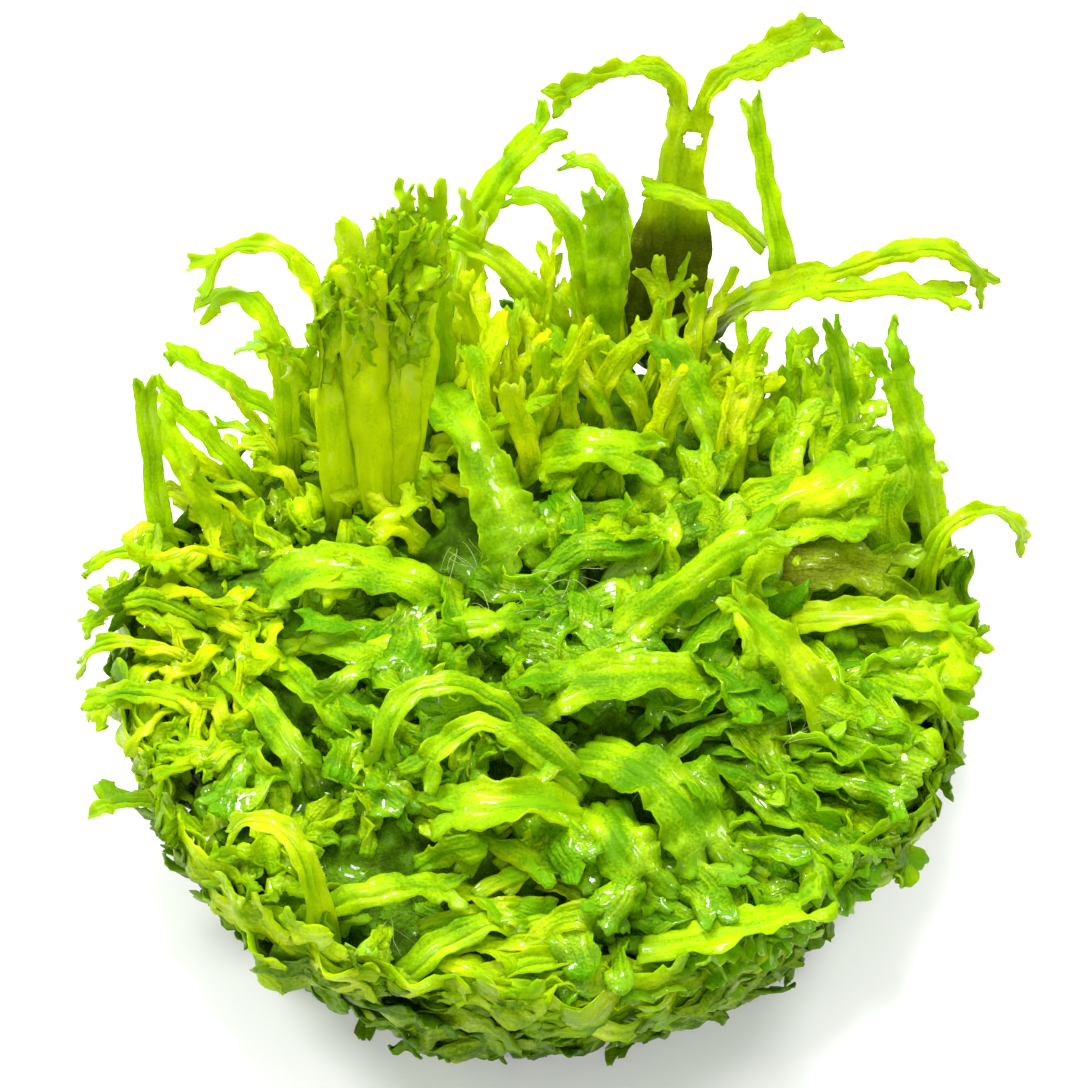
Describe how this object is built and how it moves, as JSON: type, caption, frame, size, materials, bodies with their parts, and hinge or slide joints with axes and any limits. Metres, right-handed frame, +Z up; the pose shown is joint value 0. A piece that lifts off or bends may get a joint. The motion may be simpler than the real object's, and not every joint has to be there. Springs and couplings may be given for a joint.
{
  "type": "clump of pellia liverwort from a tissue-culture cup",
  "caption": "Round clump of forked, ribbon-like pellia thalli, packed into a low cup-shaped mat with longer ribbons standing and arching from its crown.",
  "frame": {"origin": "centre of the flat underside that the clump rests on", "axes": "+Z up, +X to the right and +Y away from the viewer as the picture shows the clump"},
  "size_m": [0.0816, 0.086, 0.0453],
  "materials": {
    "mat": "wet, matted living tissue",
    "thallus": "moist, smooth and fleshy, translucent",
    "pale_thallus": "moist, smooth and fleshy, very translucent",
    "olive_thallus": "moist, smooth, older tissue"
  },
  "bodies": {
    "root": {"packed_mat": "mat", "tall_stem_back": "olive_thallus", "tall_stem_left_arm": "pale_thallus", "tall_stem_right_arm": "thallus", "right_stem_back": "olive_thallus", "right_stem_upper_arm": "pale_thallus", "right_stem_lower_arm": "thallus", "right_twin_tall": "thallus", "right_twin_left": "pale_thallus", "curled_tip_back": "thallus", "broad_ribbon_back": "thallus", "crossing_ribbon_back": "pale_thallus", "arching_ribbon_back": "thallus", "upright_tip_back": "thallus", "upright_bunch_tall": "thallus", "upright_bunch_side": "thallus", "upright_bunch_back": "pale_thallus", "high_arch_left": "pale_thallus", "low_arch_left": "pale_thallus", "left_strap_upper": "thallus", "left_strap_middle": "thallus", "left_strap_lower": "pale_thallus", "far_left_upright": "thallus", "left_hook_back": "pale_thallus", "left_hook_middle": "thallus", "left_hook_front": "pale_thallus", "left_pointed_tip": "thallus", "left_low_tip": "thallus", "drooping_ribbon": "thallus", "left_centre_strap": "thallus", "right_centre_strap": "thallus", "broad_leaf_centre": "thallus", "glossy_leaf_right": "thallus", "yellow_leaf_right": "pale_thallus", "looped_stem": "thallus", "looped_stem_left_arm": "thallus", "looped_stem_front_arm": "pale_thallus", "crossed_strap_back": "thallus", "crossed_strap_middle": "thallus", "crossed_strap_front": "thallus", "small_strap_centre": "thallus", "cut_leaf_back": "thallus", "short_strap_back": "thallus", "right_fan_back": "pale_thallus", "right_fan_middle": "thallus", "right_fan_front": "pale_thallus", "right_long_thallus": "thallus", "right_curled_tip": "pale_thallus", "right_low_strap": "thallus", "right_upright_tip": "thallus", "right_low_tip": "thallus", "front_leaf_left": "pale_thallus", "front_leaf_glossy": "thallus", "front_hook_left": "pale_thallus", "front_boat_leaf": "thallus", "front_strap_left": "thallus", "front_strap_middle": "thallus", "front_strap_low": "pale_thallus", "back_left_strap": "thallus", "back_right_strap": "thallus"}
  },
  "joints": []
}
